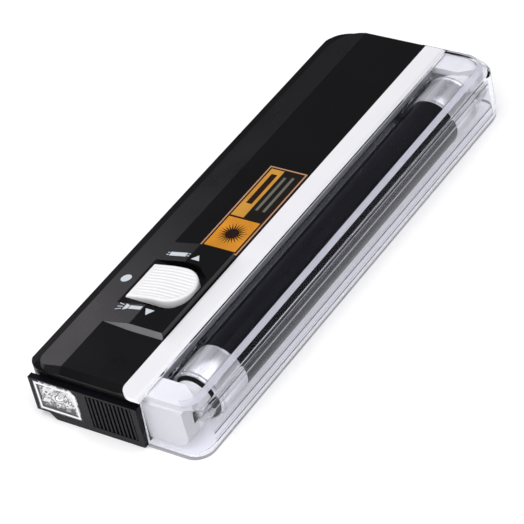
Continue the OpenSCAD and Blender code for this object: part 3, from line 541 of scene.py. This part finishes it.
def add_mirror_end(end, start, direction):
    """Crinkled mirror film beside a cap: two skins joined round their edge."""
    length, radius, thick, crinkle = 19, 8.75, 0.12, 0.22
    angle, sweep = 136, 50
    steps, turns = 26, 20
    bm = bmesh.new()
    rims = []
    for lift in (0, thick):
        random.seed(11)
        rows = []
        for i in range(steps + 1):
            y = start + direction * length * i / steps
            row = []
            for k in range(turns + 1):
                a = math.radians(angle + sweep * k / turns)
                r = radius - lift + random.uniform(-crinkle, crinkle)
                row.append(bm.verts.new(at(TUBE_X + r * math.cos(a), y, TUBE_Z + r * math.sin(a))))
            rows.append(row)
        add_skin(bm, rows)
        rims.append(rim_of(rows))
    join_rings(bm, rims[0], rims[1])
    add_piece("mirror_end_" + end, bm, "mirror_end", "case", smooth=80)


def add_mirror_ends():
    """Film beside both caps, from a little past each cap's face."""
    past_cap = 1.5
    add_mirror_end("near", span("tube_cap_near")[0].y - past_cap, 1)
    add_mirror_end("far", span("tube_cap_far")[1].y + past_cap, -1)


# ---------------------------------------------------------------- case top

# the case's own dimensions, as the part's source has them
CASE_H = 17.9
FOLD_X = 12.4  # where the sloping flank meets the flat top
FLANK_SLOPE = 0.22
FIELD_RISE = 2.1  # height of the switch field over the flat top
FIELD_X1 = 32.9
FIELD_Y0 = 22.85
FIELD_Y1 = 57.8


def top_z(x, y):
    """Height of the case's top at a place: flank, flat top or switch field."""
    rise = FIELD_RISE if FIELD_Y0 < y < FIELD_Y1 else 0
    return CASE_H + min(rise, (x - FOLD_X) * FLANK_SLOPE)


def add_mark(name, outlines):
    """Thin white print that lies on the case's top."""
    lift = 0.025
    bm = bmesh.new()
    for outline in outlines:
        bottom = add_ring(bm, [at(x, y, top_z(x, y) + lift / 2) for x, y in outline])
        top = add_ring(bm, [at(x, y, top_z(x, y) + lift) for x, y in outline])
        bm.faces.new(bottom)
        bm.faces.new(top)
        join_rings(bm, bottom, top)
    add_piece(name, bm, "print_white", "case")


def tube_sign():
    """A tube with two pins at each end."""
    sign = [rectangle(14.6, 52.0, 20.6, 53.6)]
    pin_l, pin_w = 0.8, 0.3
    for x in (13.5, 20.9):
        for y in (52.2, 53.1):
            sign.append(rectangle(x, y, x + pin_l, y + pin_w))
    return sign


def torch_sign():
    """A torch with three rays."""
    sign = [rectangle(17.2, 28.7, 21.6, 30.1),
            [(15.4, 28.1), (16.9, 28.7), (16.9, 30.1), (15.4, 30.7)]]
    x0, x1, half = 12.9, 14.8, 0.14
    for y0, y1 in ((29.4, 29.4), (28.1, 28.6), (30.7, 30.2)):
        sign.append([(x0, y0 - half), (x1, y1 - half), (x1, y1 + half), (x0, y0 + half)])
    return sign


def add_prints():
    """White dot, two arrowheads, and a plain sign for the tube and for the torch."""
    dot_x, dot_y, wide_r, long_r = 7.2, 41.1, 1.75, 1.55
    dot = [(dot_x + wide_r * x, dot_y + long_r * y) for x, y in arc((0, 0), 1, 0, 350, 35)]
    far_arrow = [(22.9, 51.4), (25.7, 51.4), (24.4, 53.5)]
    near_arrow = [(22.8, 29.7), (25.8, 29.7), (24.3, 27.3)]
    add_mark("tube_dot", [dot])
    add_mark("arrowheads", [far_arrow, near_arrow])
    add_mark("switch_signs", tube_sign() + torch_sign())


def add_field_wall():
    """Steep ramp in front of the switch field, painted paler than the case as its highlight."""
    left, right = FOLD_X + 0.6, FIELD_X1
    steps = 12
    lean = 0.3
    foot_z = CASE_H + 0.01
    back_y = FIELD_Y0 - 0.02
    bm = bmesh.new()
    rings = []
    for i in range(steps + 1):
        x = left + (right - left) * i / steps
        rise = min(FIELD_RISE, (x - FOLD_X) * FLANK_SLOPE) - 0.03
        rings.append(add_ring(bm, [at(x, FIELD_Y0 - lean * rise, foot_z), at(x, back_y, foot_z),
                                   at(x, back_y, CASE_H + rise)]))
    for first, second in zip(rings, rings[1:]):
        join_rings(bm, first, second)
    bm.faces.new(rings[0])
    bm.faces.new(rings[-1])
    add_piece("field_wall", bm, "painted_wall_highlight", "case")


def sun_sign(x, y):
    """A disc with pointed rays of uneven length."""
    disc_r, ray_r, half = 2.1, 2.15, 0.24
    rays = 24
    sign = [arc((x, y), disc_r, 0, 345, 23)]
    middle = Vector((x, y))
    for i in range(rays):
        a = 2 * math.pi * i / rays
        reach = random.uniform(4.1, 4.9)
        along = Vector((math.cos(a), math.sin(a)))
        across = Vector((-along.y, along.x)) * half
        root = middle + along * ray_r
        sign.append([(v.x, v.y) for v in (root + across, middle + along * reach, root - across)])
    return sign


def add_label():
    """Sticker in plain colour blocks: a border, a sun sign, and bars where a print would be."""
    low, high = span("info_label")
    x0, y0, x1, y1 = low.x, low.y, high.x, high.y
    margin = 1.05
    split = y0 + 14.1  # between the sun's block and the rest
    band = x0 + 5.4  # between the yellow band and the black block

    def layer(name, outlines, look, level):
        """Sheet on the sticker; each level lies on the one below it."""
        bm = bmesh.new()
        base = low.z + 0.02 * level
        for outline in outlines:
            add_prism(bm, outline, base, base + 0.016)
        stands_for = ["info_label"] if level == 0 else ()
        add_piece(name, bm, look, "case", stands_for)

    layer("label_border", [rectangle(x0, y0, x1, y1)], "label_border", 0)
    layer("label_line", [rectangle(x0 + 0.5, y0 + 0.5, x1 - 0.5, y1 - 0.5)], "label_dark", 1)
    sun_block = rectangle(x0 + margin, y0 + margin, x1 - margin, split - 0.15)
    layer("label_sun_block", [sun_block], "label_orange", 2)
    layer("label_band", [rectangle(x0 + margin, split + 0.55, band, y1 - margin)], "label_yellow", 2)
    block = rectangle(band + 0.05, split + 0.55, x1 - margin, y1 - margin)
    layer("label_block", [block], "label_black", 2)
    layer("label_sun", sun_sign((x0 + x1) / 2, (y0 + 0.95 + split) / 2), "label_dark", 3)
    layer("label_bar", [rectangle(x0 + 2.4, split + 6.4, x0 + 4.3, y1 - 3.2)], "label_dark", 3)
    lines = []
    for i in range(2):
        left = band + 1.3 + 2.4 * i
        lines.append(rectangle(left, split + 4.5, left + 0.9, y1 - 3.4 + i * 0.6))
    layer("label_lines", lines, "print_grey", 3)


# ---------------------------------------------------------------- torch

TORCH_LOW, TORCH_HIGH = span("torch_reflector")


def add_window_frame():
    """Thin bright frame round the torch window, with its upper right corner cut off."""
    outside, inside = 0.25, -0.45
    front, back = 0.02, 0.045
    cut = 1.3
    bm = bmesh.new()
    rings = []
    for grow, y in ((outside, front), (outside, back), (inside, back), (inside, front)):
        x0, x1 = TORCH_LOW.x - grow, TORCH_HIGH.x + grow
        z0, z1 = TORCH_LOW.z - grow, TORCH_HIGH.z + grow
        corners = [(x0, z0), (x1, z0), (x1, z1 - cut), (x1 - cut, z1), (x0, z1)]
        rings.append(add_ring(bm, [at(x, y, z) for x, z in corners]))
    for first, second in zip(rings, rings[1:] + rings[:1]):
        join_rings(bm, first, second)
    add_piece("window_frame", bm, "white_plastic", "case")


def add_torch_cup():
    """Crinkled mirror cup with a rolled ring near its upper left corner."""
    columns, rows = 56, 42
    # each dent's place and reach, as shares of the window, and its depth
    dents = []
    for _ in range(110):
        place = random.uniform(0, 1), random.uniform(0, 1)
        dents.append((*place, random.uniform(0.04, 0.1), random.uniform(-1.7, 1.7)))
    gap = 0.05
    x0, x1 = TORCH_LOW.x + gap, TORCH_HIGH.x - gap
    z0, z1 = TORCH_LOW.z + gap, TORCH_HIGH.z - gap
    funnel_depth, funnel_r = 4.2, 0.15
    ring_u, ring_v, ring_r = 0.24, 0.68, 0.17

    def depth(u, v):
        """Distance of the cup's skin behind the window at a share of its width and height."""
        away = ((u - 0.5) ** 2 + (v - 0.5) ** 2) / funnel_r ** 2
        deep = 0.6 + funnel_depth * math.exp(-away)
        for dent_u, dent_v, reach, height in dents:
            away = ((u - dent_u) ** 2 * 1.9 + (v - dent_v) ** 2) / reach ** 2
            deep += 0.4 * height * math.exp(-away)
        away = abs(math.hypot((u - ring_u) * 1.4, v - ring_v) - ring_r)
        return max(0.03, deep - 0.5 * math.exp(-(away / 0.05) ** 2))

    bm = bmesh.new()
    front = []
    for j in range(rows + 1):
        v = j / rows
        row = []
        for i in range(columns + 1):
            u = i / columns
            y = TORCH_LOW.y + depth(u, v)
            row.append(bm.verts.new(at(x0 + (x1 - x0) * u, y, z0 + (z1 - z0) * v)))
        front.append(row)
    add_skin(bm, front)
    rim = rim_of(front)
    back_y = at(0, TORCH_HIGH.y, 0).y
    back = add_ring(bm, [(vert.co.x, back_y, vert.co.z) for vert in rim])
    join_rings(bm, rim, back)
    bm.faces.new(back)
    add_piece("torch_cup", bm, "chrome_reflector", "case", ["torch_reflector"],
              smooth=70)


# ---------------------------------------------------------------- thumb knob

def add_knob():
    """D-shaped knob whose top follows the flank, and the stem under it."""
    low, high = span("switch_knob")
    centre_y = (low.y + high.y) / 2
    half = (high.y - low.y) / 2
    left = low.x
    round_x = high.x - half
    fold = FOLD_X + FIELD_RISE / FLANK_SLOPE
    floor_z = CASE_H + 0.05
    edge_r = 0.7
    ridge_h, ridge_pitch = 0.11, 1.2
    columns, rows = 40, 96

    def crown(x, y):
        """Height of the knob's top at a place, with a rounded edge and fine ridges."""
        past = fold - x
        height = high.z - FLANK_SLOPE * (past + math.hypot(past, 3)) / 2
        if x < round_x:
            inside = min(x - left, half - abs(y))
        else:
            inside = half - math.hypot(x - round_x, y)
        inside = max(0, inside)
        if inside < edge_r:
            height -= edge_r - math.sqrt(max(0, edge_r ** 2 - (edge_r - inside) ** 2))
        ridged = min(1, max(0, (x - left - 1.6) / 1.2)) * min(1, max(0, (inside - 0.9) / 0.5))
        return height - ridge_h * ridged * (1 + math.cos(2 * math.pi * y / ridge_pitch))

    bm = bmesh.new()
    grid = []
    for j in range(rows + 1):
        y = -half * math.cos(math.pi * j / rows)
        right = round_x + math.sqrt(max(0, half ** 2 - y ** 2))
        row = []
        for i in range(columns + 1):
            x = left + (right - left) * (1 - math.cos(math.pi * i / columns)) / 2
            row.append(bm.verts.new(at(x, centre_y + y, crown(x, y))))
        grid.append(row)
    add_skin(bm, grid)
    rim = rim_of(grid)
    base_z = at(0, 0, floor_z).z
    stem_x0, stem_x1, stem_half = 21.5, 26.5, 2
    base = add_ring(bm, [(vert.co.x, vert.co.y, base_z) for vert in rim])
    join_rings(bm, rim, base)
    bm.faces.new(base)
    add_box(bm, (stem_x0, centre_y - stem_half, low.z),
            (stem_x1, centre_y + stem_half, floor_z - 0.01))
    add_piece("knob", bm, "switch_white", "switch", ["switch_knob"], smooth=40)


# ---------------------------------------------------------------- stage

def add_floor():
    """Pale floor, of a size in metres, that glows a little."""
    half = 3.0
    bm = bmesh.new()
    corners = [(-half, -half, 0), (half, -half, 0), (half, half, 0), (-half, half, 0)]
    bm.faces.new(add_ring(bm, corners))
    mesh = bpy.data.meshes.new("floor")
    bm.to_mesh(mesh)
    bm.free()
    mesh.materials.append(finish_of("floor_white", (0.92, 0.92, 0.92), 0.9, grain=200, vary=0,
                                    Emission_Color=(1, 1, 1, 1), Emission_Strength=0.14))
    floor = bpy.data.objects.new("floor", mesh)
    bpy.context.scene.collection.objects.link(floor)


def add_area(name, place, target, size, radiance, colour=(1, 1, 1)):
    """Softbox of a size in metres at a place in metres, facing a target, with an even brightness."""
    data = bpy.data.lights.new(name, "AREA")
    data.shape = "RECTANGLE"
    data.size, data.size_y = size
    data.energy = radiance * math.pi * size[0] * size[1]
    data.color = colour
    lamp = bpy.data.objects.new(name, data)
    lamp.location = place
    lamp.rotation_mode = "QUATERNION"
    lamp.rotation_quaternion = (Vector(target) - Vector(place)).to_track_quat("-Z", "Y")
    lamp.visible_transmission = False
    bpy.context.scene.collection.objects.link(lamp)


def add_lights():
    """Soft overhead light, four softboxes and a dim even room."""
    sun_data = bpy.data.lights.new("room_light", "SUN")
    sun_data.energy = 2.6
    sun_data.angle = math.radians(90)
    sun = bpy.data.objects.new("room_light", sun_data)
    sun.rotation_euler = (math.radians(16), math.radians(8), 0)
    sun.visible_glossy = False
    bpy.context.scene.collection.objects.link(sun)
    add_area("low_left_box", (-0.42, 0.0, 0.17), (0, 0, 0.05), (0.5, 0.28), 1.15, (0.97, 0.92, 1))
    add_area("high_back_box", (0.05, 0.64, 0.9), (0, 0, 0), (0.3, 0.4), 0.35)
    add_area("right_box", (0.7, 0.64, 0.55), (0, 0, 0), (0.5, 0.4), 1.1, (0.96, 0.95, 1))
    add_area("front_box", (0.2, -1.0, 0.35), (0, 0, 0), (0.9, 0.5), 2.2)
    world = bpy.data.worlds.new("room")
    world.use_nodes = True
    world.node_tree.nodes["Background"].inputs["Color"].default_value = (0.95, 0.95, 1, 1)
    world.node_tree.nodes["Background"].inputs["Strength"].default_value = 0.14
    bpy.context.scene.world = world
    bpy.context.scene.view_settings.view_transform = "Standard"


def add_camera():
    """Long lens from high above the torch end's right corner, rolled a little."""
    azimuth, elevation, roll = math.radians(42.094), math.radians(38.519), math.radians(-14.116)
    level = math.cos(elevation)
    back = Vector((math.sin(azimuth) * level, -math.cos(azimuth) * level, math.sin(elevation)))
    turn = Matrix.Rotation(roll, 3, "Z").to_quaternion()
    data = bpy.data.cameras.new("camera")
    data.sensor_width = 36
    data.lens = 191.12
    data.clip_end = 20
    camera = bpy.data.objects.new("camera", data)
    # millimetres from the frame's own origin, solved with the lens from the vanishing lines
    camera.location = Vector((409.16, -461.15, 489.03)) * MM
    camera.rotation_mode = "QUATERNION"
    camera.rotation_quaternion = (-back).to_track_quat("-Z", "Y") @ turn
    bpy.context.scene.collection.objects.link(camera)
    bpy.context.scene.camera = camera


# ---------------------------------------------------------------- CAD nodes

NODE_LOOK = {
    "case_black": ["top_shell", "bottom_shell", "battery_door"],
    "bezel_black": ["torch_bezel"],
    "white_plastic": ["tube_frame"],
    "holder_white": ["lamp_holder_near", "lamp_holder_far", "socket_rotor_near", "socket_rotor_far"],
    "lens_clear": ["torch_lens"],
    "chrome_reflector": ["torch_reflector"],
    "bulb_glass": ["torch_bulb_glass"],
    "nickel_metal": ["torch_bulb_base", "tube_pins", "tube_cathodes", "slide_switch_can",
                     "battery_contacts"],
    "part_black": ["torch_socket", "transistor"],
    "mirror_film": ["mirror_reflector"],
    "clear_plastic": ["clear_cover"],
    "brass_contact": ["socket_contacts_near", "socket_contacts_far"],
    "tube_black_glass": ["uv_tube_glass"],
    "cap_aluminium": ["tube_cap_near", "tube_cap_far"],
    "base_black": ["tube_base_near", "tube_base_far"],
    "switch_white": ["switch_knob"],
    "switch_black": ["switch_actuator"],
    "board_brown": ["slide_switch_base", "circuit_board"],
    "ferrite": ["transformer_core"],
    "coil_tape": ["transformer_coil"],
    "capacitor_blue": ["smoothing_capacitors"],
    "capacitor_brown": ["film_capacitor"],
    "resistor_tan": ["resistors"],
    "cell_wrap": ["battery_1", "battery_2", "battery_3", "battery_4"],
    "spring_steel": ["battery_springs"],
    "screw_steel": ["housing_screws"],
    "label_yellow": ["info_label"],
    "wire_white": ["lamp_wires"],
    "wire_red": ["power_wires", "torch_wires"],
}
# nodes whose edges are rounded, with the width in millimetres
EDGES = {
    "top_shell": 0.25, "bottom_shell": 0.2, "tube_frame": 0.2, "torch_bezel": 0.1,
    "lamp_holder_near": 0.3, "lamp_holder_far": 0.3,
}


def dress_nodes():
    """Gives every CAD node its material."""
    for look, names in NODE_LOOK.items():
        for name in names:
            slots = NODES[name].data.materials
            slots.clear()
            slots.append(LOOK[look])


def soften_nodes():
    """Rounds CAD nodes' edges with modifiers, which leave their own meshes as they are."""
    for name, width in EDGES.items():
        node = NODES[name]
        weld = node.modifiers.new("weld", "WELD")
        weld.merge_threshold = 0.003 * MM
        flat = node.modifiers.new("flat", "DECIMATE")
        flat.decimate_type = "DISSOLVE"
        flat.angle_limit = math.radians(1)
        rounded = node.modifiers.new("rounded", "BEVEL")
        rounded.width = width * MM
        rounded.segments = 2
        rounded.limit_method = "ANGLE"
        rounded.angle_limit = math.radians(24)
        rounded.harden_normals = True


dress_nodes()
soften_nodes()
add_cover_shell()
add_cover_chamfer()
add_cover_lines()
add_cover_foot()
add_tube()
add_cap("near")
add_cap("far")
add_mirror_ends()
add_prints()
add_field_wall()
add_label()
add_window_frame()
add_torch_cup()
add_knob()
add_floor()
add_lights()
add_camera()
